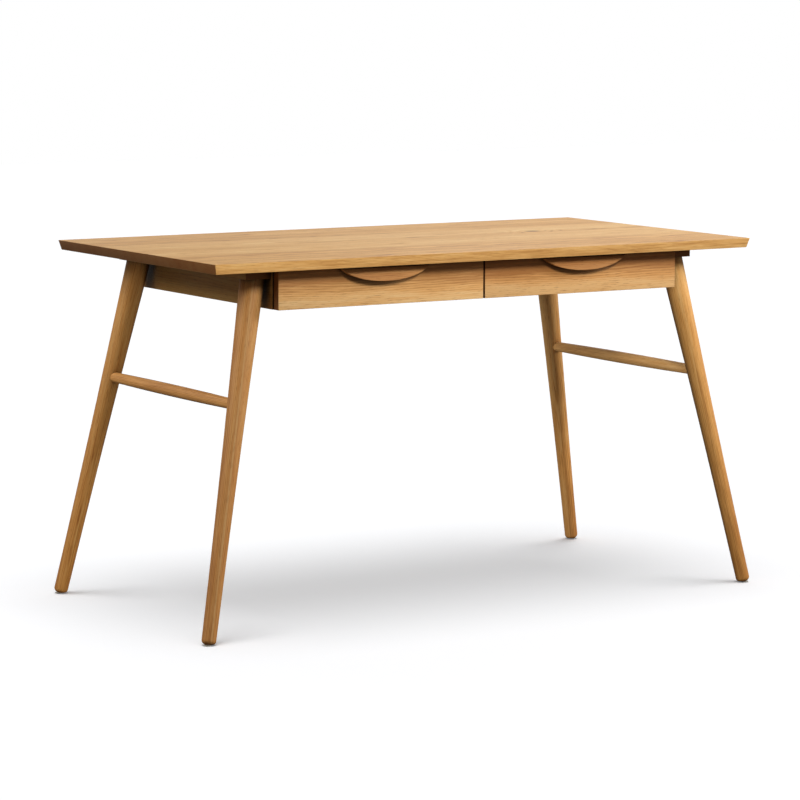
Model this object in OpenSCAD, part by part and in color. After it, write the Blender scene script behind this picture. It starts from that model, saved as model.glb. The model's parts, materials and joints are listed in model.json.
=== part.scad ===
/* [Desk top] */
// Width of the top, left to right
top_w = 1300; // [1080:10:1600]
// Depth of the top, front to back
top_d = 670; // [550:10:810]
// Thickness of the top
top_t = 20; // [18:0.5:30]
// Height of the top's upper face above the floor
desk_h = 745; // [620:5:900]
// How far the underside is set in from the upper edges
edge_bevel = 5; // [1:0.5:12]

/* [Legs] */
// Diameter of a leg at the floor
leg_foot_d = 29; // [24:0.5:38]
// Diameter of a leg where it meets its rail
leg_top_d = 49.5; // [40:0.5:60]
// How much thinner a leg is at mid length than a straight taper
leg_waist = 3.4; // [0:0.1:5]
// How far a foot's centre stands outside the end of the top
foot_out = 10; // [-10:1:20]
// How far a foot's centre stands inside the long edge of the top
foot_in = 14; // [0:1:40]
// Lean of the legs towards the middle, seen from the front, in degrees
splay_x = 11.83; // [8:0.01:14]
// Lean of the legs towards the middle, seen from the side, in degrees
splay_y = 6.79; // [3:0.01:9]
// Radius on the end of a foot
foot_round = 9; // [3:0.5:10]
// Diameter of the tenon on top of a leg
tenon_d = 28; // [20:1:34]

/* [Leg rails] */
// Thickness of a leg rail
rail_t = 20; // [16:0.5:30]
// Length of rail beyond the leg at each end
rail_past_end = 4; // [2:0.5:20]
// Width of rail beyond the leg on its outer side
rail_past_side = 6; // [2:0.5:20]
// Distance from a leg's axis to the nearest rail bolt
bolt_from_leg = 57; // [40:1:80]

/* [Side rungs] */
// Height of a rung's centre above the floor
rung_z = 460; // [300:5:560]
// Diameter of a rung at its middle
rung_mid_d = 25; // [18:0.5:27]
// Diameter of a rung's ends and of their mortises
rung_end_d = 21.5; // [14:0.5:24]

/* [Drawer case] */
// Depth of the case below the top
case_h = 80.5; // [67:0.5:110]
// Thickness of the case's sides, divider and back
panel_t = 15; // [12:0.5:20]
// Distance from the top's back edge to the back of the case
case_back_in = 65; // [40:1:90]
// Width of the cross rails between the case's panels
cross_w = 40; // [30:1:50]
// Thickness of the cross rails
cross_t = 12; // [10:0.5:15]

/* [Drawer fronts] */
// Distance from the top's front edge to the face of the drawer fronts
front_in = 43; // [30:1:60]
// Thickness of a drawer front
front_t = 18; // [16:0.5:22]
// Gap between the two drawer fronts
front_mid_gap = 4; // [2:0.5:6]
// Gap between a drawer front and the underside of the top
front_top_gap = 3; // [2:0.5:6]
// Gap between a drawer front's back and the case's front edges
front_back_gap = 3; // [2:0.5:5]
// How far a drawer front ends inside the case's outer face
front_side_in = 2; // [0:0.5:4]

/* [Pulls] */
// Width of a pull along its top edge
pull_w = 206; // [160:2:250]
// Height of a pull
pull_h = 28; // [24:0.5:34]
// Half height of the ellipse that the pull's lower edge follows
pull_bow = 42; // [36:1:60]
// How far the pull's top edge stands out from the front
pull_top_out = 12; // [11:0.5:16]
// How far the pull's lower edge stands out from the front
pull_low_out = 19; // [16:0.5:24]
// Depth of the finger grip behind the pull's lower edge
grip_d = 8; // [6:0.5:10]
// Height of the finger grip at the middle
grip_h = 13; // [8:0.5:14]

/* [Drawer boxes] */
// Thickness of a box's sides, front and back
box_t = 12; // [10:0.5:14]
// Space between a box and the case's bottom edge
box_low_gap = 5.5; // [3:0.5:10]
// Space between a box and the cross rails above it
box_high_gap = 7; // [3:0.5:12]
// Free space behind a closed box
box_back_space = 79; // [40:1:100]
// Thickness of a box's bottom panel
bottom_t = 5; // [4:0.5:6]
// Height of the bottom panel above the lower edge of the box
bottom_up = 5; // [4:0.5:8]
// Depth of the groove that holds the bottom panel
groove_d = 5; // [4:0.5:6]

/* [Drawer slides] */
// Thickness of a slide, case to box
slide_t = 12.7; // [12.5:0.1:14]
// Height of a slide
slide_h = 35; // [31:1:40]
// Sheet thickness of a slide's channel and runner
sheet_t = 1.2; // [1:0.1:1.5]
// Diameter of a slide's balls
ball_d = 4.5; // [4:0.1:5]
// Length of slide still engaged when a drawer is fully out
slide_keep = 130; // [125:1:160]
// Distance from the ends of a box to the ends of its slides
slide_in = 10; // [6:1:20]

/* [Hidden] */
$fn = 64;

// Fits: sideways clearance of a glued joint, a screw, and a piece on its end
glue_fit = 0.05;
screw_fit = 0.1;
end_fit = 0.2;
cut = 1;        // how far a cutter runs past the face that it cuts

// Heights
under_z = desk_h - top_t;
rail_z = under_z - rail_t;
case_z = under_z - case_h;
cross_z = under_z - cross_t;

// Legs: the axis runs from the foot's centre on the floor up and inwards
left = -1;
right = 1;
front = -1;
back = 1;
foot_x = top_w / 2 + foot_out;
foot_y = top_d / 2 - foot_in;
lean_x = tan(splay_x);
lean_y = tan(splay_y);
tilt = atan(sqrt(lean_x * lean_x + lean_y * lean_y));
leg_l = rail_z / cos(tilt);
leg_steps = 28;
foot_lift = 1.5;    // start of the turning above the floor, along its axis
function leg_x(z) = foot_x - z * lean_x;
function leg_y(z) = foot_y - z * lean_y;
function leg_r(s) = (leg_foot_d + (leg_top_d - leg_foot_d) * s - 4 * leg_waist * s * (1 - s)) / 2;

// Floor glides
glide_d = 14;
glide_t = 2;
glide_pin_d = 2.5;
glide_pin_l = 9;
glide_out = 3;      // shift of a glide from the leg's axis towards its low side

// Side rungs
rung_y = leg_y(rung_z);
rung_past = 2;      // length of a rung beyond the leg's axis
// Straight length at each end of a rung, through the leg's skin and just out of it
rung_tenon = leg_r(rung_z / rail_z) / cos(splay_y) + 4;
rung_steps = 12;

// Case
side_gap = 0.5;     // clearance between a leg's top and the case
case_x = leg_x(rail_z) - leg_top_d / 2 / cos(splay_x) - side_gap;
case_front = front_in + front_t + front_back_gap - top_d / 2;
case_back_y = top_d / 2 - case_back_in;
back_y = case_back_y - panel_t;
bay_x0 = panel_t / 2;
bay_x1 = case_x - panel_t;
cross_in = 3;       // cross rail's distance from the case's front edge
cross_ys = [case_front + cross_in, back_y - cross_w];

// Leg rails
rail_w = side_gap + leg_top_d / cos(splay_x) + rail_past_side;
rail_y = leg_y(rail_z) + leg_top_d / 2 / cos(splay_y) + rail_past_end;
rail_x = case_x + rail_w / 2;
bolt_row = leg_y(rail_z) - bolt_from_leg;

// Dowels: diameter, length in end grain, depth in a face
panel_dowel_d = 8;
cross_dowel_d = 6;
dowel_grain = 21;
dowel_face = 9;
panel_dowel_zs = [case_z + 16, under_z - 20];

// Screws and bolts
bolt_d = 6;
bolt_l = rail_t + 8;
bolt_head_d = 11.5;
insert_d = 9;
insert_l = 12;
wood_d = 4;
wood_head_d = 8;
pan_d = 3.5;
pan_head_d = 6.5;
pan_head_h = 2;
top_screw_l = cross_t + 13;
case_screw_l = 12;
box_screw_l = 10;
front_screw_l = box_t + 13;
pull_screw_l = front_t + 10;

// Drawer fronts and pulls, on the right-hand side
face_y = front_in - top_d / 2;
front_x0 = front_mid_gap / 2;
front_x1 = case_x - front_side_in;
front_z1 = under_z - front_top_gap;
pull_x = (front_x0 + front_x1) / 2;
pull_z1 = front_z1 - 1;
pull_z0 = pull_z1 - pull_h;
pull_steps = 44;
pull_screw_x = 50;
pull_screw_z = (pull_z0 + grip_h + pull_z1) / 2;
bumper_d = 8;

// Drawer boxes, on the right-hand side
box_x0 = bay_x0 + slide_t;
box_x1 = bay_x1 - slide_t;
box_y0 = face_y + front_t;
box_l = back_y - box_back_space - box_y0;
box_z0 = case_z + box_low_gap;
box_z1 = cross_z - box_high_gap;
groove_gap = 0.2;
box_dowel_d = 6;
box_dowel_l = box_t + 18;
box_dowel_zs = [box_z0 + bottom_up + bottom_t + 8, box_z1 - 12];

// Slides: x runs from the case to the box, z up from the slide's middle
slide_z = (box_z0 + box_z1) / 2;
slide_y0 = box_y0 + slide_in;
slide_l = box_l - 2 * slide_in;
travel = slide_l - slide_keep;
race_x = slide_t / 2;
race_gap = 0.3;     // running gap between a ball and each race
race_z = slide_h / 2 - sheet_t - race_gap - ball_d / 2;
cage_t = 0.8;
cage_w = ball_d + 2.6;
cage_l = slide_keep - 4;
cage_y0 = slide_y0 + travel / 2 + 2;
ball_pitch = 25;
balls = 5;
slide_screw_ys = [slide_y0 + 40, slide_y0 + slide_l / 2, slide_y0 + slide_l - 40];

// Wood and metal colours
oak = "#c8924f";
pale = "#d9b07a";
ply = "#dcc092";
steel = "#b9bcc0";
brass = "#c2a14c";
nylon = "#3a3734";

// Helpers
module slab(z0, z1) {
    translate([-top_w, -top_d, z0]) cube([2 * top_w, 2 * top_d, z1 - z0]);
}
module board(x0, x1, y0, y1, z0, z1) {
    translate([x0, y0, z0]) cube([x1 - x0, y1 - y0, z1 - z0]);
}
module handed(side) {
    if (side > 0) children();
    else mirror([1, 0, 0]) children();
}
module rod_x(d, x0, x1, y, z) {
    translate([x0, y, z]) rotate([0, 90, 0]) cylinder(d = d, h = x1 - x0);
}
module rod_y(d, x, y0, y1, z) {
    translate([x, y0, z]) rotate([-90, 0, 0]) cylinder(d = d, h = y1 - y0);
}
// A countersunk screw pointing up from its head; fit widens it into its hole
module flat_screw(d, head_d, l, fit) {
    head_h = (head_d - d) / 2;
    rim = 0.4;
    tip = fit > 0 ? 0 : d;
    r = d / 2 + fit;
    difference() {
        rotate_extrude() polygon([[0, -fit], [head_d / 2 + fit, -fit], [head_d / 2 + fit, rim],
            [r, rim + head_h], [r, l - tip + fit], [r - tip * 0.4, l + fit], [0, l + fit]]);
        if (fit == 0) translate([0, 0, -cut]) cylinder(d = d * 0.7, h = cut + rim + head_h / 2, $fn = 6);
    }
}
// A pan-headed screw pointing up, with its head below the origin
module pan_screw(l, fit) {
    tip = fit > 0 ? 0 : pan_d;
    r = pan_d / 2 + fit;
    difference() {
        rotate_extrude() polygon([[0, -pan_head_h], [pan_head_d / 2 - 1, -pan_head_h],
            [pan_head_d / 2, 1 - pan_head_h], [pan_head_d / 2, 0], [r, 0],
            [r, l - tip + fit], [r - tip * 0.4, l + fit], [0, l + fit]]);
        translate([0, 0, -pan_head_h - cut]) cylinder(d = pan_d * 0.7, h = cut + 1.2, $fn = 6);
    }
}

// Desk top: its four edges slope in towards the underside
module desk_top() color(oak) difference() {
    intersection() {
        edge_prism(top_w, top_d);
        rotate([0, 0, 90]) edge_prism(top_d, top_w);
    }
    inserts(glue_fit);
    case_top_screw_set(screw_fit);
}
module edge_prism(w, d) {
    translate([0, d / 2, under_z]) rotate([90, 0, 0]) linear_extrude(d)
        polygon([[edge_bevel - w / 2, 0], [w / 2 - edge_bevel, 0], [w / 2, top_t], [-w / 2, top_t]]);
}

// Rail fixings: flat-head bolts up through the rails into brass inserts
module at_rail_bolts() {
    for (x = [-rail_x, rail_x], q = [-1, -1/3, 1/3, 1]) translate([x, q * bolt_row, 0]) children();
}
module inserts(fit) {
    at_rail_bolts() translate([0, 0, under_z - (fit > 0 ? cut : 0)])
        cylinder(d = insert_d + 2 * fit, h = insert_l + (fit > 0 ? cut + end_fit : 0));
}
module top_inserts() color(brass) difference() {
    inserts(0);
    bolt_set(screw_fit);
}
module bolt_set(fit) {
    at_rail_bolts() translate([0, 0, rail_z]) flat_screw(bolt_d, bolt_head_d, bolt_l, fit);
}
module rail_bolts() color(steel) bolt_set(0);

// Legs and their rails
// A leg's axis leans without twisting, so that its own X stays over the desk's
module on_leg_axis(sx, sy) {
    heading = atan2(-sy * lean_y, -sx * lean_x);
    translate([sx * foot_x, sy * foot_y, 0]) rotate([0, tilt, heading]) rotate([0, 0, -heading]) children();
}
module leg_turning() {
    s0 = (foot_lift + foot_round) / leg_l;
    s1 = 1.03;
    foot_r = leg_r(s0) - foot_round;
    rotate_extrude() polygon(concat(
        [[0, foot_lift]],
        [for (a = [0 : 10 : 80]) [foot_r + foot_round * sin(a), foot_lift + foot_round * (1 - cos(a))]],
        [for (i = [0 : leg_steps]) let (s = s0 + (s1 - s0) * i / leg_steps) [leg_r(s), s * leg_l]],
        [[0, s1 * leg_l]]));
}
// A tenon ends square to its axis; with a fit above 0 it cuts right through the rail
module tenon(sx, sy, fit) {
    tenon_l = (rail_t - end_fit - tenon_d / 2 * sin(tilt)) / cos(tilt);
    on_leg_axis(sx, sy) translate([0, 0, leg_l - rail_t])
        cylinder(d = tenon_d + 2 * fit, h = fit > 0 ? 3 * rail_t : rail_t + tenon_l);
}
module leg(sx, sy) color(oak) difference() {
    union() {
        intersection() {
            on_leg_axis(sx, sy) leg_turning();
            slab(glide_t, rail_z);
        }
        tenon(sx, sy, 0);
    }
    side_rung_tenons(sx, glue_fit);
    glide(sx, sy, glue_fit);
}
module leg_rail(sx) color(oak) difference() {
    handed(sx) board(case_x, case_x + rail_w, -rail_y, rail_y, rail_z, under_z);
    for (sy = [front, back]) tenon(sx, sy, glue_fit);
    bolt_set(screw_fit);
}

// Glides: a nylon disc on the foot's flat, with a pin up into the leg
module glide(sx, sy, fit) {
    turn = atan2(sy * lean_y, sx * lean_x);
    translate([sx * foot_x + glide_out * cos(turn), sy * foot_y + glide_out * sin(turn), 0]) {
        if (fit == 0) cylinder(d = glide_d, h = glide_t);
        cylinder(d = glide_pin_d + 2 * fit, h = glide_t + glide_pin_l + (fit > 0 ? end_fit : 0));
    }
}
module floor_glides() color(nylon) {
    for (sx = [left, right], sy = [front, back]) glide(sx, sy, 0);
}

// Side rungs: slim in the ends, fuller in the middle
module side_rung_tenons(sx, fit) {
    end = rung_y + rung_past + (fit > 0 ? end_fit : 0);
    for (sy = [front, back]) rod_y(rung_end_d + 2 * fit, sx * leg_x(rung_z),
        sy > 0 ? rung_y - rung_tenon : -end, sy > 0 ? end : rung_tenon - rung_y, rung_z);
}
module side_rung(sx) color(oak) {
    half = rung_y - rung_tenon;
    side_rung_tenons(sx, 0);
    translate([sx * leg_x(rung_z), 0, rung_z]) rotate([90, 0, 0]) rotate_extrude() polygon(concat(
        [[0, -half - 0.01]],
        [for (i = [-rung_steps : rung_steps]) let (u = i / rung_steps)
            [rung_end_d / 2 + (rung_mid_d - rung_end_d) / 2 * (1 - u * u), u * (half + 0.01)]],
        [[0, half + 0.01]]));
}

// Case: two sides, a divider and a back, under four cross rails
module case_side(sx) color(oak) difference() {
    handed(sx) board(bay_x1, case_x, case_front, case_back_y, case_z, under_z);
    case_dowel_set(glue_fit);
    channel_screw_set(screw_fit);
    bumper_set(glue_fit);
}
module case_divider() color(oak) difference() {
    board(-bay_x0, bay_x0, case_front, back_y, case_z, under_z);
    case_dowel_set(glue_fit);
    channel_screw_set(screw_fit);
}
module case_back() color(oak) difference() {
    board(-bay_x1, bay_x1, back_y, case_back_y, case_z, under_z);
    case_dowel_set(glue_fit);
}
module cross_rail(sx, row) color(oak) difference() {
    handed(sx) board(bay_x0, bay_x1, cross_ys[row], cross_ys[row] + cross_w, cross_z, under_z);
    case_dowel_set(glue_fit);
    case_top_screw_set(screw_fit);
}
module case_dowel_set(fit) {
    deep = fit > 0 ? end_fit : 0;
    mid_y = (back_y + case_back_y) / 2;
    cross_mid = cross_z + cross_t / 2;
    for (sx = [left, right]) handed(sx) {
        for (z = panel_dowel_zs)
            rod_x(panel_dowel_d + 2 * fit, bay_x1 - dowel_grain - deep, bay_x1 + dowel_face + deep, mid_y, z);
        for (y = cross_ys) rod_x(cross_dowel_d + 2 * fit, bay_x1 - dowel_grain - deep,
            bay_x1 + dowel_face + deep, y + cross_w / 2, cross_mid);
    }
    for (z = panel_dowel_zs)
        rod_y(panel_dowel_d + 2 * fit, 0, back_y - dowel_grain - deep, back_y + dowel_face + deep, z);
    for (y = cross_ys) rod_x(cross_dowel_d + 2 * fit, -bay_x0 - dowel_grain - deep,
        bay_x0 + dowel_grain + deep, y + cross_w / 2, cross_mid);
}
module case_dowels() color(pale) case_dowel_set(0);
module case_top_screw_set(fit) {
    for (sx = [left, right], y = cross_ys, q = [0.25, 0.75])
        translate([sx * (bay_x0 + (bay_x1 - bay_x0) * q), y + cross_w / 2, cross_z])
            flat_screw(wood_d, wood_head_d, top_screw_l, fit);
}
module case_top_screws() color(steel) case_top_screw_set(0);

// Bumpers: soft pegs on the case's outer front edges, under the drawer fronts
module bumper_set(fit) {
    x = (bay_x1 + front_x1) / 2 + 1;
    for (sx = [left, right], z = [box_z0 + 4, box_z1]) {
        if (fit == 0) rod_y(bumper_d, sx * x, case_front - front_back_gap + 0.3, case_front, z);
        rod_y(bumper_d / 2 + 2 * fit, sx * x, case_front, case_front + 6 + (fit > 0 ? end_fit : 0), z);
    }
}
module front_bumpers() color(nylon) bumper_set(0);

// Slides: a channel on the case, a runner on the box, balls between
module at_slide(side, place) {
    handed(side) translate([place > 0 ? bay_x1 : bay_x0, 0, slide_z]) handed(-place) children();
}
outboard = 1;
inboard = -1;
// Both edges of a slide's section: the upper points, then the same below
function both_edges(upper) = concat(upper, [for (i = [len(upper) - 1 : -1 : 0]) [upper[i][0], -upper[i][1]]]);
module along_slide(y0, l) {
    translate([0, y0 + l, 0]) rotate([90, 0, 0]) linear_extrude(l) children();
}
module channel(side, place) color(steel) difference() {
    wall_z = slide_h / 2 - sheet_t;
    lip_x = race_x + ball_d / 2 - 0.3;
    at_slide(side, place) along_slide(slide_y0, slide_l) polygon(both_edges([
        [sheet_t, wall_z], [lip_x, wall_z], [lip_x, wall_z - sheet_t],
        [lip_x + sheet_t, wall_z - sheet_t], [lip_x + sheet_t, slide_h / 2], [0, slide_h / 2]]));
    channel_screw_set(screw_fit);
}
module runner(side, place) color(steel) difference() {
    shelf_z = race_z - ball_d / 2 - race_gap;
    lip_x = race_x - ball_d / 2 + 0.1;
    at_slide(side, place) along_slide(slide_y0, slide_l) polygon(both_edges([
        [slide_t, shelf_z], [lip_x, shelf_z], [lip_x, shelf_z + sheet_t],
        [lip_x - sheet_t, shelf_z + sheet_t], [lip_x - sheet_t, shelf_z - sheet_t],
        [slide_t - sheet_t, shelf_z - sheet_t]]));
    runner_screw_set(side, screw_fit);
}
module channel_screw_set(fit) {
    for (side = [left, right], place = [outboard, inboard]) at_slide(side, place)
        for (y = slide_screw_ys) translate([sheet_t, y + 6 * side, 0]) rotate([0, -90, 0])
            pan_screw(case_screw_l, fit);
}
module channel_screws() color(steel) channel_screw_set(0);
module runner_screw_set(side, fit) {
    for (place = [outboard, inboard]) at_slide(side, place)
        for (y = slide_screw_ys) translate([slide_t - sheet_t, y, 0]) rotate([0, 90, 0])
            pan_screw(box_screw_l, fit);
}
module at_balls(side, place) {
    at_slide(side, place) for (up = [0, 1], i = [0 : balls - 1]) mirror([0, 0, up])
        translate([race_x, cage_y0 + cage_l / 2 + (i - (balls - 1) / 2) * ball_pitch, race_z]) children();
}
module slide_cage(side, place) color(brass) difference() {
    at_slide(side, place) along_slide(cage_y0, cage_l)
        for (z = [-race_z, race_z]) translate([race_x, z]) square([cage_w, cage_t], center = true);
    at_balls(side, place) cylinder(d = ball_d + 0.3, h = 2 * cage_t, center = true);
}
module slide_balls(side) color(steel) {
    for (place = [outboard, inboard]) at_balls(side, place) sphere(d = ball_d);
}

// Drawer fronts: a plain board that covers the case's edge
module drawer_front(side) color(oak) difference() {
    handed(side) board(front_x0, front_x1, face_y, box_y0, case_z, front_z1);
    front_screw_set(side, screw_fit);
    pull_screw_set(side, screw_fit);
}
// Pull: a half-moon lip, thicker towards its curved lower edge
module pull_outline() {
    semi_w = pull_w / 2 / sqrt(1 - pow(1 - pull_h / pull_bow, 2));
    a0 = asin(1 - pull_h / pull_bow);
    polygon([for (i = [0 : pull_steps]) let (a = a0 + (180 - 2 * a0) * i / pull_steps)
        [semi_w * cos(a), pull_z0 + pull_bow * (1 - sin(a))]]);
}
module drawer_pull(side) color(oak) difference() {
    handed(side) intersection() {
        translate([pull_x, face_y, 0]) rotate([90, 0, 0]) linear_extrude(pull_low_out) pull_outline();
        translate([pull_x - pull_w, 0, 0]) rotate([90, 0, 90]) linear_extrude(2 * pull_w)
            polygon([[face_y, pull_z0 - cut], [face_y - pull_low_out, pull_z0],
                [face_y - pull_top_out, pull_z1], [face_y, pull_z1]]);
    }
    handed(side) board(pull_x - pull_w, pull_x + pull_w, face_y - grip_d, face_y + cut,
        pull_z0 - cut, pull_z0 + grip_h);
    pull_screw_set(side, screw_fit);
}
module pull_screw_set(side, fit) {
    handed(side) for (x = [-pull_screw_x, pull_screw_x]) translate([pull_x + x, box_y0, pull_screw_z])
        rotate([90, 0, 0]) flat_screw(wood_d, wood_head_d, pull_screw_l, fit);
}
module front_screw_set(side, fit) {
    handed(side) for (x = [box_x0 + 60, box_x1 - 60], z = [box_z0 + 19, box_z1 - 12])
        translate([x, box_y0 + box_t, z]) rotate([90, 0, 0])
            flat_screw(wood_d, wood_head_d, front_screw_l, fit);
}

// Drawer boxes: boards dowelled at the corners, with a loose bottom panel
module box_end(side, y0) color(pale) difference() {
    handed(side) board(box_x0 + box_t, box_x1 - box_t, y0, y0 + box_t, box_z0, box_z1);
    bottom_panel(side, groove_gap);
    box_dowel_set(side, glue_fit);
    front_screw_set(side, screw_fit);
}
module box_side(side, place) color(pale) difference() {
    x0 = place > 0 ? box_x1 - box_t : box_x0;
    handed(side) board(x0, x0 + box_t, box_y0, box_y0 + box_l, box_z0, box_z1);
    bottom_panel(side, groove_gap);
    box_dowel_set(side, glue_fit);
    runner_screw_set(side, screw_fit);
}
module bottom_panel(side, gap) {
    out = groove_d - (gap > 0 ? 0 : 0.3);
    z0 = box_z0 + bottom_up;
    handed(side) board(box_x0 + box_t - out, box_x1 - box_t + out, box_y0 + box_t - out,
        box_y0 + box_l - box_t + out, z0, z0 + bottom_t + gap);
}
module box_dowel_set(side, fit) {
    deep = fit > 0 ? end_fit : 0;
    handed(side) for (y = [box_y0 + box_t / 2, box_y0 + box_l - box_t / 2], z = box_dowel_zs) {
        rod_x(box_dowel_d + 2 * fit, box_x0, box_x0 + box_dowel_l + deep, y, z);
        rod_x(box_dowel_d + 2 * fit, box_x1 - box_dowel_l - deep, box_x1, y, z);
    }
}

desk_top();
top_inserts();
leg_rail(left);  // leg_rail_left
leg_rail(right);  // leg_rail_right
rail_bolts();
leg(left, front);  // leg_front_left
leg(right, front);  // leg_front_right
leg(left, back);  // leg_back_left
leg(right, back);  // leg_back_right
side_rung(left);  // side_rung_left
side_rung(right);  // side_rung_right
floor_glides();
case_side(left);  // case_side_left
case_side(right);  // case_side_right
case_divider();
case_back();
cross_rail(left, 0);  // cross_rail_front_left
cross_rail(right, 0);  // cross_rail_front_right
cross_rail(left, 1);  // cross_rail_back_left
cross_rail(right, 1);  // cross_rail_back_right
case_dowels();
case_top_screws();
front_bumpers();
channel(left, outboard);  // channel_left_outboard
channel(left, inboard);  // channel_left_inboard
channel(right, outboard);  // channel_right_outboard
channel(right, inboard);  // channel_right_inboard
channel_screws();
drawer_front(left);  // left_front
drawer_pull(left);  // left_pull
box_end(left, box_y0);  // left_box_front
box_end(left, box_y0 + box_l - box_t);  // left_box_back
box_side(left, outboard);  // left_box_side_outboard
box_side(left, inboard);  // left_box_side_inboard
color(ply) bottom_panel(left, 0);  // left_box_bottom
runner(left, outboard);  // left_runner_outboard
runner(left, inboard);  // left_runner_inboard
color(steel) runner_screw_set(left, 0);  // left_runner_screws
color(steel) front_screw_set(left, 0);  // left_front_screws
color(steel) pull_screw_set(left, 0);  // left_pull_screws
color(pale) box_dowel_set(left, 0);  // left_box_dowels
slide_cage(left, outboard);  // left_cage_outboard
slide_cage(left, inboard);  // left_cage_inboard
slide_balls(left);  // left_balls
drawer_front(right);  // right_front
drawer_pull(right);  // right_pull
box_end(right, box_y0);  // right_box_front
box_end(right, box_y0 + box_l - box_t);  // right_box_back
box_side(right, outboard);  // right_box_side_outboard
box_side(right, inboard);  // right_box_side_inboard
color(ply) bottom_panel(right, 0);  // right_box_bottom
runner(right, outboard);  // right_runner_outboard
runner(right, inboard);  // right_runner_inboard
color(steel) runner_screw_set(right, 0);  // right_runner_screws
color(steel) front_screw_set(right, 0);  // right_front_screws
color(steel) pull_screw_set(right, 0);  // right_pull_screws
color(pale) box_dowel_set(right, 0);  // right_box_dowels
slide_cage(right, outboard);  // right_cage_outboard
slide_cage(right, inboard);  // right_cage_inboard
slide_balls(right);  // right_balls
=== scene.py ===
import json
import math

import bmesh
import bpy
from mathutils import Matrix, Quaternion, Vector

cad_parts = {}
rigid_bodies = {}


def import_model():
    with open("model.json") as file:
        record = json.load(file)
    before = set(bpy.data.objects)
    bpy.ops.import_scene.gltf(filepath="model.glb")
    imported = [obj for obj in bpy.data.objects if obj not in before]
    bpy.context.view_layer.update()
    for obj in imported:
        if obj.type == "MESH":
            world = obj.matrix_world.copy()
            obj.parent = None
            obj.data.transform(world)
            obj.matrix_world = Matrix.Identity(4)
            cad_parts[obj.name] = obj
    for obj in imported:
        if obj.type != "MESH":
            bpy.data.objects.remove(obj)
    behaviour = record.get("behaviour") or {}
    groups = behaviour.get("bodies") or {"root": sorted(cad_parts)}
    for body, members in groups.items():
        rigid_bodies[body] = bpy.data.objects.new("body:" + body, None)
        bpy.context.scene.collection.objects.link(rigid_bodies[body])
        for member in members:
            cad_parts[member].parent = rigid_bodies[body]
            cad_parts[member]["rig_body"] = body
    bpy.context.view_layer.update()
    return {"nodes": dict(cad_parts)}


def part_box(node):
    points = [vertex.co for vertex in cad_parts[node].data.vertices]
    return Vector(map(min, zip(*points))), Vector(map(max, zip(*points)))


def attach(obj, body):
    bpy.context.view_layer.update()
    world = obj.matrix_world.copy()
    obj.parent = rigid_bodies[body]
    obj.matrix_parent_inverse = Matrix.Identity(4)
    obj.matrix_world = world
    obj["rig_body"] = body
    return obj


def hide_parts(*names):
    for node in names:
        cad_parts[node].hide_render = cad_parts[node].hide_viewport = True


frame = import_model()
scene = bpy.context.scene
scene.view_settings.view_transform = "Standard"

# Camera: a long lens seven metres away, to the left of the desk and nearly 0.6 m higher than its
# top. It looks at a point under the middle of the top.
CAMERA_TARGET = Vector((-0.0117, 0.0075, 0.4029))
CAMERA_DISTANCE = 7.071
CAMERA_AZIMUTH = math.radians(-32.39)    # from straight in front, towards the left
CAMERA_ELEVATION = math.radians(7.44)
CAMERA_ROLL = math.radians(0.25)
CAMERA_LENS = 150.17
CAMERA_SIGHT = 100                       # metres


def towards(azimuth, elevation):
    """The direction to a point at that azimuth from the desk's front and that elevation."""
    level = math.cos(elevation)
    return Vector((math.sin(azimuth) * level, -math.cos(azimuth) * level, math.sin(elevation)))


camera = bpy.data.objects.new("camera", bpy.data.cameras.new("camera"))
scene.collection.objects.link(camera)
scene.camera = camera
camera.data.lens = CAMERA_LENS
camera.data.clip_end = CAMERA_SIGHT
view_back = towards(CAMERA_AZIMUTH, CAMERA_ELEVATION)
level_right = Vector((0, 0, 1)).cross(view_back).normalized()
turned_right = Matrix.Rotation(CAMERA_ROLL, 3, view_back) @ level_right
turned_up = view_back.cross(turned_right)
camera.matrix_world = Matrix((turned_right, turned_up, view_back)).transposed().to_4x4()
camera.matrix_world.translation = CAMERA_TARGET + CAMERA_DISTANCE * view_back


# Studio floor: one wide white sheet, lit from below, that runs out to the background. It shows
# white and holds the desk's pale shadow, and throws only a little light up at the wood.
FLOOR_HALF = 14.0          # metres
SHEET_WHITE = "#f9fafc"
SHEET_GLOW = 0.15          # brightness that comes through it from below
SHEET_BOUNCE = "#6a6866"   # what the wood sees of it


def linear(colour):
    """An sRGB hex colour as the linear colour that a shader takes."""
    parts = [int(colour[i:i + 2], 16) / 255 for i in (1, 3, 5)]
    return [p / 12.92 if p <= 0.04045 else ((p + 0.055) / 1.055) ** 2.4 for p in parts] + [1]


def add(tree, kind, inputs=(), stops=(), **settings):
    """Adds a shader node. Its inputs are a list in their order, or go by name or number.

    An input is a number or a colour, or the output that feeds it, or a node whose first output
    does. The stops of a colour ramp are pairs of place and colour.
    """
    made = tree.nodes.new("ShaderNode" + kind)
    for name, value in settings.items():
        setattr(made, name, value)
    if stops:
        ramp = made.color_ramp.elements
        ramp[0].position, ramp[0].color = stops[0]
        ramp[1].position, ramp[1].color = stops[-1]
        for place, colour in stops[1:-1]:
            ramp.new(place).color = colour
    named = inputs if isinstance(inputs, dict) else dict(enumerate(inputs))
    for name, value in named.items():
        if isinstance(value, bpy.types.Node):
            value = value.outputs[0]
        if isinstance(value, bpy.types.NodeSocket):
            tree.links.new(value, made.inputs[name])
        else:
            made.inputs[name].default_value = value
    return made


def new_material(name):
    """An empty node material."""
    material = bpy.data.materials.new(name)
    material.use_nodes = True
    material.node_tree.nodes.clear()
    return material, material.node_tree


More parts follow.
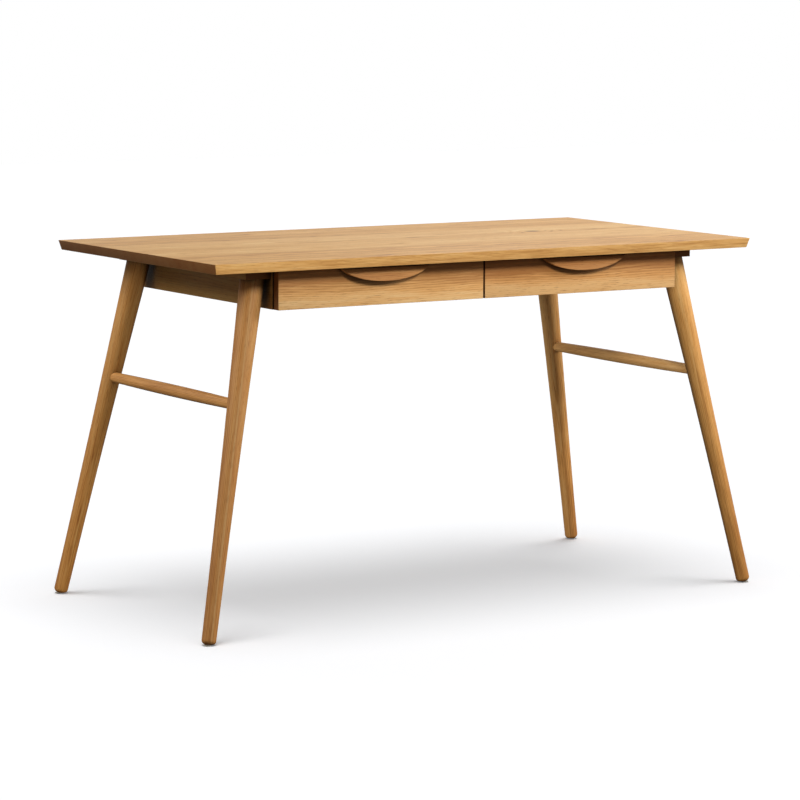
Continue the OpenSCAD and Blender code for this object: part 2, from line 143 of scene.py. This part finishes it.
def white_sheet():
    """Matt white sheet, glowing to the eye and grey to the light that the desk gets from it."""
    material, tree = new_material("backlit white sheet")
    skin = add(tree, "BsdfDiffuse", {"Color": linear(SHEET_WHITE)})
    glow = add(tree, "Emission", {"Color": linear(SHEET_WHITE), "Strength": SHEET_GLOW})
    seen = add(tree, "AddShader", [skin, glow])
    bounced = add(tree, "BsdfDiffuse", {"Color": linear(SHEET_BOUNCE)})
    path = add(tree, "LightPath").outputs
    in_sight = add(tree, "Math", [path["Is Camera Ray"], path["Is Transmission Ray"]],
                   operation="MAXIMUM")
    add(tree, "OutputMaterial", {"Surface": add(tree, "MixShader", [in_sight, bounced, seen])})
    return material


sheet = bpy.data.meshes.new("studio_floor")
corners = [(-1, -1), (1, -1), (1, 1), (-1, 1)]
sheet.from_pydata([(x * FLOOR_HALF, y * FLOOR_HALF, 0) for x, y in corners], [], [(0, 1, 2, 3)])
sheet.materials.append(white_sheet())
floor = bpy.data.objects.new("studio_floor", sheet)
scene.collection.objects.link(floor)


# Desk top: long oak boards glued edge to edge, with both ends and both long edges cut at a
# slope towards the underside. It is sanded, its arrises are just eased, and it is oiled.
MILLIMETRE = 0.001
TOP_BOARDS = 7
TOP_EASE = 0.8 * MILLIMETRE
TOP_HEART = (0.0, -0.09)
TOP_KNOT = (0.349, 0.042, 0.022, 0.014)    # place along and across, half length, half width
OAK_DARK = "#b07c44"
OAK_MID = "#dcaa6a"
OAK_PALE = "#e9c48c"
OAK_PORE_BROWN = "#8f5f30"
OAK_END = "#8c4f20"
OAK_KNOT = "#5d3a1e"
OAK_LOG = 9.0                       # metres of tree that the glued boards are cut from
OAK_GLUE_LINE = 2.2 * MILLIMETRE    # many times the real one, so that it shows
OAK_RING = 3 * MILLIMETRE

# Places in a ring, from the early wood out, and how pale it is there
OAK_RING_TONES = ((0.0, 0.30), (0.14, 0.55), (0.35, 1.0), (0.85, 0.9), (1.0, 0.45))

# Length and width of the oak's streaks, and where in the noise they start. The pores are some
# four times as wide as real ones, so that they show
OAK_BROAD_STREAK = (350 * MILLIMETRE, 22 * MILLIMETRE, 5.9)
OAK_FINE_STREAK = (70 * MILLIMETRE, 3.4 * MILLIMETRE, 2.2)
OAK_PORE = (18 * MILLIMETRE, 1.3 * MILLIMETRE, 1.3)
OAK_WANDER = (300 * MILLIMETRE, 90 * MILLIMETRE, 3.7)
OAK_WANDER_REACH = 12 * MILLIMETRE
OAK_RIPPLE = (50 * MILLIMETRE, 15 * MILLIMETRE, 8.1)
OAK_RIPPLE_REACH = 2.4 * MILLIMETRE
OAK_KNOT_SWELL = 9 * MILLIMETRE     # how far the rings part round the knot
# Painted shade in corners, recesses and between parts, darkening the colour by how closed in they
# are
CORNER_SHADE = (0.35, 0.85, 0.12)   # openness where it is darkest, and where it ends; its tone
UNSHADED_FOOT = (0.08, 0.16)           # the shade comes in between these heights, in metres


def oiled_oak(name, grain, centre, heart, tint, boards=1, board_width=1.0, roll=0,
              figure=1.0, spread=0.22, glue_line=0.0, fade=None, knot=None, corner_reach=0.0):
    """Oiled oak: a warm satin surface, streaked along the grain, with rings round the heart.

    grain is the direction of the grain, and centre the middle of the piece. heart is the place
    of the tree's heart from there, across the grain, and roll turns it about the grain. figure
    is the contrast of the streaks, spread that of whole boards, and glue_line the tone of the
    joint between two. fade is an axis, two places on it and the tone at each. corner_reach is
    how far the painted shade of a corner reaches. The end grain drinks oil and goes dark.
    """
    material, tree = new_material(name)
    spot = add(tree, "TexCoord").outputs
    turn = Vector(grain).rotation_difference(Vector((1, 0, 0)))
    turn = Quaternion((1, 0, 0), math.radians(roll)) @ turn
    placed = add(tree, "Mapping", {
        "Vector": spot["Object"], "Rotation": turn.to_euler(),
        "Location": -(turn @ Vector(centre))})
    part = add(tree, "SeparateXYZ", [placed]).outputs

    # Each glued board is its own piece of tree
    number = add(tree, "Math", [part["Y"], board_width], operation="DIVIDE")
    number = add(tree, "Math", [number, boards / 2], operation="ADD")
    number = add(tree, "Math", [number], operation="FLOOR")
    seed = sum(ord(letter) for letter in name)
    chance = add(tree, "TexWhiteNoise", {
        "W": add(tree, "Math", [number, seed], operation="ADD")}, noise_dimensions="1D")
    chance = add(tree, "SeparateColor", [chance.outputs["Color"]]).outputs
    along = add(tree, "Math", [chance["Blue"], OAK_LOG, part["X"]], operation="MULTIPLY_ADD")
    across = part["Y"]
    if boards > 1:
        middle = add(tree, "Math", [number, board_width, (0.5 - boards / 2) * board_width],
                     operation="MULTIPLY_ADD")
        across = add(tree, "Math", [across, middle], operation="SUBTRACT")
        seam = add(tree, "MapRange", {
            "Value": add(tree, "Math", [across], operation="ABSOLUTE"),
            "From Min": board_width / 2 - OAK_GLUE_LINE, "From Max": board_width / 2,
            "To Min": 0.0, "To Max": glue_line})
        shift = add(tree, "Math", [chance["Green"], board_width, -board_width / 2],
                    operation="MULTIPLY_ADD")
        across = add(tree, "Math", [across, shift], operation="ADD")
    in_tree = add(tree, "CombineXYZ", [along, across, part["Z"]])

    def streaks(length, width, start, detail):
        """Noise drawn out along the grain, from a streak's length and width in metres."""
        where = add(tree, "VectorMath", [
            in_tree, (1 / length, 1 / width, 1 / width), (0, start, 0)], operation="MULTIPLY_ADD")
        return add(tree, "TexNoise", {
            "Vector": where, "Scale": 1.0, "Detail": detail, "Roughness": 0.55})

    # Growth rings, bent by the tree's slow wander along its length, and parted by a knot
    off_heart = add(tree, "VectorMath", [in_tree, (0, 1, 1), (0, -heart[0], -heart[1])],
                    operation="MULTIPLY_ADD")
    radius = add(tree, "VectorMath", [off_heart], operation="LENGTH").outputs["Value"]
    for streak, reach in ((OAK_WANDER, OAK_WANDER_REACH), (OAK_RIPPLE, OAK_RIPPLE_REACH)):
        bend = add(tree, "Math", [streaks(*streak, detail=1), reach, -reach / 2],
                   operation="MULTIPLY_ADD")
        radius = add(tree, "Math", [radius, bend], operation="ADD")
    if knot:
        x, y, half_length, half_width = knot
        off_knot = add(tree, "VectorMath", [
            placed, (1 / half_length, 1 / half_width, 0), (-x / half_length, -y / half_width, 0)],
            operation="MULTIPLY_ADD")
        off_knot = add(tree, "VectorMath", [off_knot], operation="LENGTH").outputs["Value"]
        core = add(tree, "MapRange", {
            "Value": off_knot, "From Min": 0.4, "From Max": 1.0, "To Min": 1.0, "To Max": 0.0})
        swell = add(tree, "MapRange", {
            "Value": off_knot, "From Min": 0.0, "From Max": 4.0, "To Min": OAK_KNOT_SWELL,
            "To Max": 0.0}, interpolation_type="SMOOTHSTEP")
        radius = add(tree, "Math", [radius, swell], operation="ADD")
    ring = add(tree, "Math", [radius, OAK_RING], operation="DIVIDE")
    ring = add(tree, "Math", [ring], operation="FRACT")
    rings = add(tree, "ValToRGB", [ring], [
        (place, (level, level, level, 1)) for place, level in OAK_RING_TONES])

    # Pores: short dark dashes, thick in the pale early wood of each ring
    pore = add(tree, "MapRange", {
        "Value": streaks(*OAK_PORE, detail=2), "From Min": 0.55, "From Max": 0.66})
    early = add(tree, "MapRange", {
        "Value": rings, "From Min": 0.9, "From Max": 0.4, "To Min": 0.25, "To Max": 1.0})
    pore = add(tree, "Math", [pore, early], operation="MULTIPLY", use_clamp=True)

    # Tone: streaks, rings and the board's own, each about its mean, then the slow fade
    broad = streaks(*OAK_BROAD_STREAK, detail=3)
    fine = streaks(*OAK_FINE_STREAK, detail=3)
    parts = (    # what it is, its weight and its mean
        (broad, 0.60 * figure, 0.5), (fine, 0.70 * figure, 0.5),
        (rings, 0.34 * figure, 0.78), (chance["Red"], spread, 0.5))
    body = 0.5 - sum(weight * mean for _, weight, mean in parts)
    for what, weight, _ in parts:
        body = add(tree, "Math", [what, weight, body], operation="MULTIPLY_ADD")
    if boards > 1:
        body = add(tree, "Math", [body, seam], operation="ADD")
    if fade:
        axis, start, stop, start_tone, stop_tone = fade
        slow = add(tree, "MapRange", {
            "Value": part[axis], "From Min": start, "From Max": stop, "To Min": start_tone,
            "To Max": stop_tone})
        body = add(tree, "Math", [body, slow], operation="ADD")
    colour = add(tree, "ValToRGB", [body], [
        (0.14, linear(OAK_DARK)), (0.5, linear(OAK_MID)), (0.86, linear(OAK_PALE))])

    # Pores, end grain, knot and tint over that. A Mix node's colours are 6 and 7, and it gives 2
    facing = add(tree, "VectorMath", [spot["Normal"], Vector(grain)], operation="DOT_PRODUCT")
    end = add(tree, "MapRange", {
        "Value": add(tree, "Math", [facing.outputs["Value"]], operation="ABSOLUTE"),
        "From Min": 0.72, "From Max": 0.92, "To Min": 0.0, "To Max": 0.78})
    layers = [(add(tree, "Math", [pore, 0.7], operation="MULTIPLY"), OAK_PORE_BROWN, "MIX"),
              (end, OAK_END, "MIX")]
    if knot:
        layers.append((add(tree, "Math", [core, 0.9], operation="MULTIPLY"), OAK_KNOT, "MIX"))
    layers.append((1.0, tint, "MULTIPLY"))
    for cover, shade, blend in layers:
        colour = add(tree, "Mix", {0: cover, 6: colour, 7: linear(shade)}, data_type="RGBA",
                     blend_type=blend).outputs[2]
    if corner_reach:
        # Painted shade: the colour darkens in corners, recesses and between parts by how closed in
        # they are, except near the feet
        darkest, fully_open, dark_tone = CORNER_SHADE
        openness = add(tree, "AmbientOcclusion", {"Distance": corner_reach}, samples=8)
        openness = add(tree, "MapRange", {
            "Value": openness.outputs["AO"], "From Min": darkest, "From Max": fully_open,
            "To Min": dark_tone, "To Max": 1.0})
        height = add(tree, "SeparateXYZ", [spot["Object"]]).outputs["Z"]
        foot_unshaded = add(tree, "MapRange", {
            "Value": height, "From Min": UNSHADED_FOOT[0], "From Max": UNSHADED_FOOT[1],
            "To Min": 1.0, "To Max": 0.0})
        openness = add(tree, "Math", [openness, foot_unshaded], operation="MAXIMUM")
        colour = add(tree, "VectorMath", {0: colour, "Scale": openness}, operation="SCALE")

    # Satin oil: a little rougher along the fine streaks, with the rings and pores just felt
    roughness = add(tree, "MapRange", {"Value": fine, "To Min": 0.46, "To Max": 0.62})
    relief = add(tree, "Math", [rings, 0.3], operation="MULTIPLY")
    relief = add(tree, "Math", [relief, pore], operation="SUBTRACT")
    bump = add(tree, "Bump", {
        "Height": relief, "Strength": 0.12, "Distance": 0.3 * MILLIMETRE})
    wood = add(tree, "BsdfPrincipled", {
        "Base Color": colour, "Roughness": roughness, "Normal": bump, "Specular IOR Level": 0.3})
    add(tree, "OutputMaterial", {"Surface": wood})
    return material


def middle_of(node):
    """The centre of a CAD node's box."""
    low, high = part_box(node)
    return (low + high) / 2


SAME_PLACE = 0.001 * MILLIMETRE
SAME_PLANE = math.radians(0.5)
ARRIS_OVER = math.radians(30)      # a sharper corner is eased
SMOOTH_UNDER = math.radians(32)    # a flatter one is shaded round
LONGEST_FACET = 2 * MILLIMETRE     # a shorter edge belongs to a hole or a curve, and stays
EASE_STEPS = 3


def eased(node, ease, material):
    """The CAD piece with its long outer arrises rounded by the radius ease."""
    source = frame["nodes"][node]
    shape = bmesh.new()
    shape.from_mesh(source.data)
    bmesh.ops.remove_doubles(shape, verts=shape.verts, dist=SAME_PLACE)
    bmesh.ops.dissolve_limit(
        shape, angle_limit=SAME_PLANE, verts=shape.verts, edges=shape.edges)
    arrises = [
        edge for edge in shape.edges
        if edge.is_convex and edge.calc_length() > LONGEST_FACET
        and edge.calc_face_angle(0) > ARRIS_OVER]
    bmesh.ops.bevel(
        shape, geom=arrises, offset=ease, segments=EASE_STEPS, profile=0.5, affect="EDGES",
        clamp_overlap=False)
    for face in shape.faces:
        face.smooth = True
    for edge in shape.edges:
        edge.smooth = edge.calc_face_angle(0) < SMOOTH_UNDER
    mesh = bpy.data.meshes.new(node + "_eased")
    shape.to_mesh(mesh)
    shape.free()
    mesh.materials.append(material)
    piece = bpy.data.objects.new(node + "_eased", mesh)
    scene.collection.objects.link(piece)
    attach(piece, source["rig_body"])
    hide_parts(node)
    return piece


ALONG_X = (1, 0, 0)
ALONG_Y = (0, 1, 0)
top_low, top_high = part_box("desk_top")
desk_top = eased("desk_top", TOP_EASE, oiled_oak(
    "oiled oak top", ALONG_X, middle_of("desk_top"), TOP_HEART, "#f5f2e6", TOP_BOARDS,
    (top_high.y - top_low.y) / TOP_BOARDS, figure=1.25, knot=TOP_KNOT))


# Legs: four turned oak legs, each glued up from two halves, that thin towards the foot, with a
# slim waist, and lean out and away from the middle. Each is tenoned up through its rail.
LEG_FOOT = 29 * MILLIMETRE
LEG_HEAD = 49.5 * MILLIMETRE
LEG_HALVES = 2
LEG_HEART = (0.045, -0.02)
LEG_ROLL = 120                     # turns the glue line to the front
LEG_FADE = 0.35                    # how far up and down from its middle the tone changes
# how far the painted corner shade reaches on the legs
LEG_CORNER = 50 * MILLIMETRE
# Each leg's tint, and its tone from foot to head, is partly the oak's own and partly painted light
# and shade for how the light falls on that leg
LEGS = {    # tint, tone of the glue line, tone at the foot and at the head
    "leg_front_left": ("#d6bfa2", 0.8, -0.14, 0.06),
    "leg_front_right": ("#fceccc", 0.1, -0.20, 0.27),
    "leg_back_left": ("#dec8a4", 0.1, -0.26, 0.06),
    "leg_back_right": ("#ffecd0", 0.1, 0.0, 0.18),
}


def leg_axis(node):
    """The direction of a leg's axis, from its foot's middle to its head's middle."""
    low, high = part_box(node)
    side = Vector((math.copysign(1, low.x), math.copysign(1, low.y)))
    outer = Vector((max(abs(low.x), abs(high.x)), max(abs(low.y), abs(high.y))))
    inner = Vector((min(abs(low.x), abs(high.x)), min(abs(low.y), abs(high.y))))
    foot = outer - Vector((LEG_FOOT, LEG_FOOT)) / 2
    head = inner + Vector((LEG_HEAD, LEG_HEAD)) / 2
    lean = Vector((side.x * (head.x - foot.x), side.y * (head.y - foot.y), high.z - low.z))
    return lean.normalized()


def coat(node, material):
    """Gives a CAD piece its material."""
    for place in frame["nodes"][node].material_slots:
        place.material = material


for node, (tint, glue_line, foot_tone, head_tone) in LEGS.items():
    coat(node, oiled_oak(
        "oiled oak " + node.replace("_", " "), leg_axis(node), middle_of(node), LEG_HEART, tint,
        LEG_HALVES, LEG_HEAD, LEG_ROLL, figure=1.3, spread=0.3, glue_line=glue_line,
        fade=("X", -LEG_FADE, LEG_FADE, foot_tone, head_tone), corner_reach=LEG_CORNER))


# Leg rails: a flat oak rail joins the heads of each pair of legs and is bolted up to the top.
# Side rungs: a slim turned oak rung ties each pair together, three fifths of the way up.
BOARD_EASE = 0.8 * MILLIMETRE
# how far the painted corner shade reaches on the boards
BOARD_CORNER = 20 * MILLIMETRE
BOARD_TINT = "#ccc09c"
RAIL_HEART = (0.01, -0.06)
RUNG_HEART = (0.02, -0.05)
RUNG_TINTS = {"left": "#f6e6d0", "right": "#e6e2dc"}
for side, tint in RUNG_TINTS.items():
    node = "leg_rail_" + side
    eased(node, BOARD_EASE, oiled_oak(
        "oiled oak rail " + side, ALONG_Y, middle_of(node), RAIL_HEART, BOARD_TINT,
        corner_reach=BOARD_CORNER))
    node = "side_rung_" + side
    coat(node, oiled_oak(
        "oiled oak rung " + side, ALONG_Y, middle_of(node), RUNG_HEART, tint))


# Drawer case: two oak sides, a divider and a back, dowelled together, with four cross rails
# that are screwed up to the top. The beech dowels are hidden in the joints.
BEECH_FLECK = 4 * MILLIMETRE
CASE_BOARDS = {    # grain, heart
    "case_side_left": (ALONG_Y, (0.05, 0.02)),
    "case_side_right": (ALONG_Y, (-0.05, 0.01)),
    "case_divider": (ALONG_Y, (0.05, 0.0)),
    "case_back": (ALONG_X, (-0.05, 0.02)),
    "cross_rail_front_left": (ALONG_X, (0.0, -0.06)),
    "cross_rail_front_right": (ALONG_X, (0.02, -0.06)),
    "cross_rail_back_left": (ALONG_X, (0.0, 0.06)),
    "cross_rail_back_right": (ALONG_X, (0.02, 0.06)),
}
for node, (grain, heart) in CASE_BOARDS.items():
    eased(node, BOARD_EASE, oiled_oak(
        "oiled oak " + node.replace("_", " "), grain, middle_of(node), heart, BOARD_TINT,
        corner_reach=BOARD_CORNER))


def turned_beech(name):
    """Beech dowel rod: pale pinkish wood, fine and even, with short darker flecks."""
    material, tree = new_material(name)
    flecks = add(tree, "TexNoise", {
        "Vector": add(tree, "TexCoord").outputs["Object"], "Scale": 1 / BEECH_FLECK,
        "Detail": 3.0})
    colour = add(tree, "ValToRGB", [flecks], [(0.0, linear("#c39a70")), (1.0, linear("#dfbe96"))])
    wood = add(tree, "BsdfPrincipled", {"Base Color": colour, "Roughness": 0.65})
    add(tree, "OutputMaterial", {"Surface": wood})
    return material


beech = turned_beech("turned beech")
coat("case_dowels", beech)


# Drawer fronts: one solid oak board each, with the grain level, darker towards the upper edge and
# paler below, partly the oak's own tone and partly painted shade under the overhang of the top.
# They cover the edges of the case, and each is screwed to its box from inside.
FRONT_EASE = 0.8 * MILLIMETRE
# how far the painted corner shade reaches on the fronts and pulls
FRONT_CORNER = 16 * MILLIMETRE
FRONT_FADE = (0.012, -0.025)       # from dark to pale between these heights from its middle
# The fade from dark above to pale below is partly the oak's own tone and partly painted shade
# under the top
FRONTS = {    # heart, tint, how much darker it is above and paler below
    "left": ((0.06, 0.05), "#f8f2ec", 0.26, 0.30),
    "right": ((0.055, 0.045), "#f0e2d4", 0.36, 0.40),
}
for side, (heart, tint, darker, paler) in FRONTS.items():
    node = side + "_front"
    eased(node, FRONT_EASE, oiled_oak(
        "oiled oak front " + side, ALONG_X, middle_of(node), heart, tint,
        fade=("Z", *FRONT_FADE, -darker, paler), corner_reach=FRONT_CORNER))


# Pulls: a half moon of oak screwed on below the edge of the top, thicker towards its curved
# lower edge, with a finger grip cut in behind that edge.
PULL_EASE = 1.2 * MILLIMETRE
PULL_HEART = (0.05, 0.04)
PULL_TINTS = {"left": "#d2bda4", "right": "#c8ae90"}
for side, tint in PULL_TINTS.items():
    node = side + "_pull"
    eased(node, PULL_EASE, oiled_oak(
        "oiled oak pull " + side, ALONG_X, middle_of(node), PULL_HEART, tint,
        corner_reach=FRONT_CORNER))


# Drawer boxes: pale poplar boards, sanded and lacquered, dowelled at the corners round a
# loose panel of birch plywood.
BOX_EASE = 0.6 * MILLIMETRE
BOX_BOARDS = {"front": ALONG_X, "back": ALONG_X, "side_outboard": ALONG_Y, "side_inboard": ALONG_Y}
POPLAR_STREAK = (160 * MILLIMETRE, 7 * MILLIMETRE)
BIRCH_CLOUD = (250 * MILLIMETRE, 45 * MILLIMETRE)


def lacquered_poplar(name, grain, centre):
    """Lacquered poplar: pale straw yellow, a fine straight grain and hardly any figure."""
    material, tree = new_material(name)
    turn = Vector(grain).rotation_difference(Vector((1, 0, 0)))
    placed = add(tree, "Mapping", {
        "Vector": add(tree, "TexCoord").outputs["Object"], "Rotation": turn.to_euler(),
        "Location": -(turn @ Vector(centre))})
    length, width = POPLAR_STREAK
    drawn = add(tree, "VectorMath", [placed, (1 / length, 1 / width, 1 / width)],
                operation="MULTIPLY")
    lines = add(tree, "TexNoise", {
        "Vector": drawn, "Scale": 1.0, "Detail": 5.0, "Roughness": 0.6})
    colour = add(tree, "ValToRGB", [lines], [(0.3, linear("#c9a777")), (0.7, linear("#e2c799"))])
    bump = add(tree, "Bump", {
        "Height": lines, "Strength": 0.08, "Distance": 0.2 * MILLIMETRE})
    wood = add(tree, "BsdfPrincipled", {
        "Base Color": colour, "Roughness": 0.42, "Normal": bump})
    add(tree, "OutputMaterial", {"Surface": wood})
    return material


def birch_plywood(name, centre):
    """Birch plywood: a pale rotary cut face with a wide, soft, cloudy figure."""
    material, tree = new_material(name)
    length, width = BIRCH_CLOUD
    drawn = add(tree, "Mapping", {
        "Vector": add(tree, "TexCoord").outputs["Object"], "Location": -Vector(centre),
        "Scale": (1 / length, 1 / width, 1 / width)})
    clouds = add(tree, "TexNoise", {
        "Vector": drawn, "Scale": 1.0, "Detail": 6.0, "Distortion": 0.8})
    colour = add(tree, "ValToRGB", [clouds], [(0.3, linear("#cfb084")), (0.72, linear("#e6d0a6"))])
    wood = add(tree, "BsdfPrincipled", {"Base Color": colour, "Roughness": 0.5})
    add(tree, "OutputMaterial", {"Surface": wood})
    return material


for side in ("left", "right"):
    for board, grain in BOX_BOARDS.items():
        node = side + "_box_" + board
        eased(node, BOX_EASE, lacquered_poplar(
            "lacquered poplar " + node.replace("_", " "), grain, middle_of(node)))
    coat(side + "_box_dowels", beech)
    node = side + "_box_bottom"
    coat(node, birch_plywood("birch plywood " + side, middle_of(node)))


# Drawer slides: rolled steel channels on the case and runners on the boxes, zinc plated, with
# steel balls between them in strips of brass. They show only when a drawer is open.
PLATING_MOTTLE = 6 * MILLIMETRE
BRASS_MOTTLE = 4 * MILLIMETRE
BALL_MOTTLE = 2 * MILLIMETRE


def slide_metal(name, dark, pale, roughness, mottle_size):
    """Bright metal, faintly mottled by its plating or its rolling, with a soft broken shine."""
    material, tree = new_material(name)
    mottle = add(tree, "TexNoise", {
        "Vector": add(tree, "TexCoord").outputs["Object"], "Scale": 1 / mottle_size,
        "Detail": 4.0})
    colour = add(tree, "ValToRGB", [mottle], [(0.3, linear(dark)), (0.7, linear(pale))])
    shine = add(tree, "MapRange", {
        "Value": mottle, "To Min": roughness - 0.08, "To Max": roughness + 0.08})
    metal = add(tree, "BsdfPrincipled", {
        "Base Color": colour, "Roughness": shine, "Metallic": 1.0})
    add(tree, "OutputMaterial", {"Surface": metal})
    return material


zinc = slide_metal("zinc plated steel slide", "#a9adb1", "#c3c6ca", 0.34, PLATING_MOTTLE)
brass = slide_metal("stamped brass", "#b08a3c", "#c9a558", 0.33, BRASS_MOTTLE)
ball_steel = slide_metal("polished ball steel", "#c6c8cb", "#d6d8da", 0.14, BALL_MOTTLE)
for side in ("left", "right"):
    for place in ("outboard", "inboard"):
        coat("channel_" + side + "_" + place, zinc)
        coat(side + "_runner_" + place, zinc)
        coat(side + "_cage_" + place, brass)
    coat(side + "_balls", ball_steel)


# Screws, bolts and inserts: zinc plated steel screws and flat headed bolts, and threaded
# brass inserts let into the underside of the top.
SCREW_MOTTLE = 2 * MILLIMETRE
screw_steel = slide_metal("zinc plated screw steel", "#9da1a6", "#babdc1", 0.3, SCREW_MOTTLE)
coat("top_inserts", brass)
for node in ("rail_bolts", "case_top_screws", "channel_screws"):
    coat(node, screw_steel)
for side in ("left", "right"):
    for kind in ("runner", "front", "pull"):
        coat(side + "_" + kind + "_screws", screw_steel)


# Glides and bumpers: natural nylon discs pinned under the feet, and soft dark pegs behind the
# drawer fronts. Both are moulded.
NYLON_SKIN = 0.8 * MILLIMETRE      # some ten times coarser than the real one


def moulded_nylon(name, dark, pale, clearness=0.0):
    """Moulded nylon: a dull, slightly uneven skin. Without a dye it lets some light through."""
    material, tree = new_material(name)
    skin = add(tree, "TexNoise", {
        "Vector": add(tree, "TexCoord").outputs["Object"], "Scale": 1 / NYLON_SKIN,
        "Detail": 2.0})
    colour = add(tree, "ValToRGB", [skin], [(0.0, linear(dark)), (1.0, linear(pale))])
    bump = add(tree, "Bump", {
        "Height": skin, "Strength": 0.15, "Distance": 0.1 * MILLIMETRE})
    plastic = add(tree, "BsdfPrincipled", {
        "Base Color": colour, "Roughness": 0.55, "Normal": bump,
        "Transmission Weight": clearness})
    add(tree, "OutputMaterial", {"Surface": plastic})
    return material


coat("floor_glides", moulded_nylon("moulded natural nylon", "#ece0c8", "#f4ecda", 0.7))
coat("front_bumpers", moulded_nylon("moulded dark nylon", "#2c2a28", "#45413d"))


# Studio light: softboxes flagged off the floor, two of them for the top alone, and three low
# cards that each fill one piece. The floor has a broad light overhead, and a narrower one that
# only the legs block. Behind the desk the room is paler, where the wood picks it up as sheen.
SOFTBOXES = {    # azimuth, elevation, distance, side, strength at the desk, what it lights
    "front_softbox": (-4, 34, 2.6, 0.45, 0.57, "not the top"),
    "right_softbox": (60, 25, 4.0, 1.2, 0.60, "desk"),
    "back_left_softbox": (-105, 33, 4.0, 1.8, 0.60, "not the top"),
    "far_left_softbox": (-140, 50, 4.5, 2.6, 0.48, "top"),
    "back_right_softbox": (130, 50, 4.0, 1.6, 0.26, "top"),
    "low_front_card": (-15, 8, 4.0, 1.4, 0.68, "top"),
    "low_card": (-5, 4, 4.0, 1.4, 0.36, "back left leg"),
    "low_left_card": (-65, 5, 4.0, 1.4, 0.70, "right rung"),
}
LOWEST_SHEEN = 20                  # the cards, which are lower than this, give no sheen
FLOOR_LIGHTS = {    # width, azimuth, tilt from overhead, how bright white paper is in it
    "floor_light": (45, -19, 6.8, 0.41),
    "foot_light": (14, 0, 0, 0.30),
}
ROOM_GLOW = 0.15
BACKDROP_GLOW = 0.62
BACKDROP_EDGES = (0.3, 0.6)        # cosines of the angles from straight behind, out and in


def aim(lamp, azimuth, elevation):
    """Turns a lamp to shine on the desk from that side."""
    direction = towards(math.radians(azimuth), math.radians(elevation))
    lamp.rotation_mode = "QUATERNION"
    lamp.rotation_quaternion = direction.to_track_quat("Z", "Y")
    return direction


def add_lamp(name, kind, others, state):
    """A lamp that lights these objects only, or all but these."""
    lamp = bpy.data.objects.new(name, bpy.data.lights.new(name, kind))
    scene.collection.objects.link(lamp)
    group = bpy.data.collections.new(name + "_link")
    for other in others:
        group.objects.link(other)
    lamp.light_linking.receiver_collection = group
    for linked in group.collection_objects:
        linked.light_linking.link_state = state
    return lamp


def add_softbox(name, azimuth, elevation, distance, side, strength, others, state):
    """A square softbox, its power set by its strength where the desk stands."""
    lamp = add_lamp(name, "AREA", others, state)
    lamp.data.size = side
    lamp.data.energy = math.pi ** 2 * distance ** 2 * strength
    lamp.location = CAMERA_TARGET + distance * aim(lamp, azimuth, elevation)
    lamp.visible_glossy = elevation > LOWEST_SHEEN


LIT = {
    "desk": ([floor], "EXCLUDE"),
    "not the top": ([floor, desk_top], "EXCLUDE"),
    "top": ([desk_top], "INCLUDE"),
    "back left leg": ([frame["nodes"]["leg_back_left"]], "INCLUDE"),
    "right rung": ([frame["nodes"]["side_rung_right"]], "INCLUDE"),
}
for name, (*place, lit) in SOFTBOXES.items():
    add_softbox(name, *place, *LIT[lit])
for name, (width, azimuth, tilt, brightness) in FLOOR_LIGHTS.items():
    lamp = add_lamp(name, "SUN", [floor], "INCLUDE")
    lamp.data.angle = math.radians(width)
    lamp.data.energy = math.pi * brightness
    aim(lamp, azimuth, 90 - tilt)
legs = bpy.data.collections.new("foot_light_blockers")
for node in LEGS:
    legs.objects.link(frame["nodes"][node])
bpy.data.objects["foot_light"].light_linking.blocker_collection = legs

# The room is plain white to the eye, and dim to the rest
world = bpy.data.worlds.new("studio")
scene.world = world
world.use_nodes = True
tree = world.node_tree
tree.nodes.clear()
direction = add(tree, "TexCoord").outputs["Generated"]
ahead = add(tree, "VectorMath", [direction, -view_back], operation="DOT_PRODUCT")
glow = add(tree, "MapRange", {
    "Value": ahead.outputs["Value"], "From Min": BACKDROP_EDGES[0],
    "From Max": BACKDROP_EDGES[1], "To Min": ROOM_GLOW, "To Max": BACKDROP_GLOW})
is_seen = add(tree, "LightPath").outputs["Is Camera Ray"]
strength = add(tree, "Mix", {0: is_seen, 2: glow, 3: 1.0})
backdrop = add(tree, "Background", {"Color": linear("#ffffff"), "Strength": strength})
add(tree, "OutputWorld", {"Surface": backdrop})
